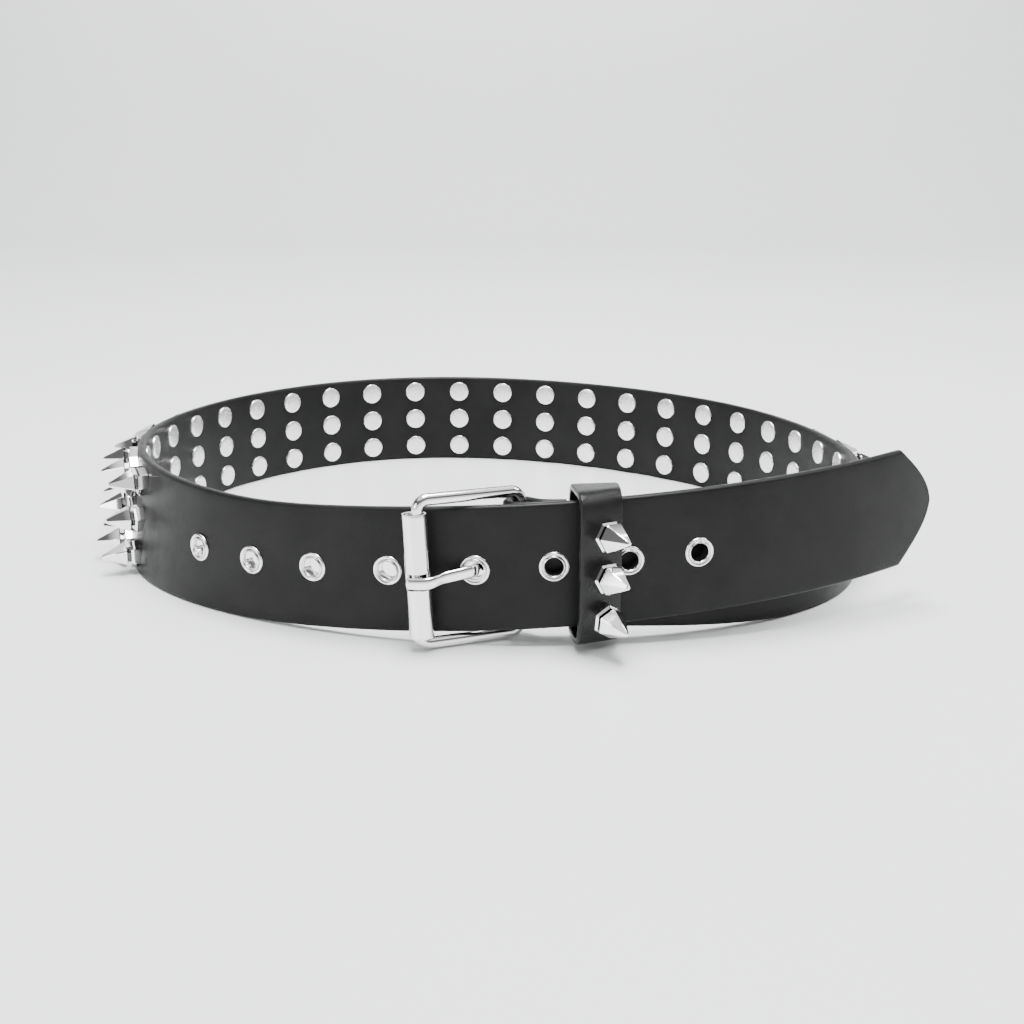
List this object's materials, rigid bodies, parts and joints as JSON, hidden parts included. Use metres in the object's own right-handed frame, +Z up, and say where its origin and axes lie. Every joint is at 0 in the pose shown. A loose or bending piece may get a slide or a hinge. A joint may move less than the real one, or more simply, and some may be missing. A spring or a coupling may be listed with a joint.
{
  "type": "studded belt",
  "caption": "Fastened leather belt with screw-on cone spikes round its strap, a roller buckle, metal eyelets and a spiked keeper, standing on its edge.",
  "frame": {"origin": "middle of the belt's bounding box at its foot, on the surface that the strap's edge stands on", "axes": "+Z up along the strap's width, +X to the belt's right in the picture, towards the strap's tip, -Y out of the front, where the buckle is"},
  "size_m": [0.285, 0.2848, 0.0511],
  "materials": {
    "leather": "satin black coated leather with a faint grain",
    "keeper_leather": "satin black coated leather with a faint grain",
    "spike_metal": "bright polished nickel plate",
    "screw_metal": "bright nickel plate",
    "buckle_metal": "bright polished nickel plate",
    "eyelet_metal": "bright nickel plate"
  },
  "bodies": {
    "root": {"studded_strap": "leather", "buckle_frame": "buckle_metal", "roller": "buckle_metal", "prong": "buckle_metal", "keeper": "keeper_leather", "keeper_spike_1": "spike_metal", "keeper_spike_2": "spike_metal", "keeper_spike_3": "spike_metal", "eyelet_1": "eyelet_metal", "eyelet_2": "eyelet_metal", "eyelet_3": "eyelet_metal", "eyelet_4": "eyelet_metal", "eyelet_5": "eyelet_metal", "eyelet_6": "eyelet_metal", "eyelet_7": "eyelet_metal", "eyelet_8": "eyelet_metal", "fold_rivet_1": "eyelet_metal", "fold_rivet_2": "eyelet_metal"}
  },
  "joints": []
}
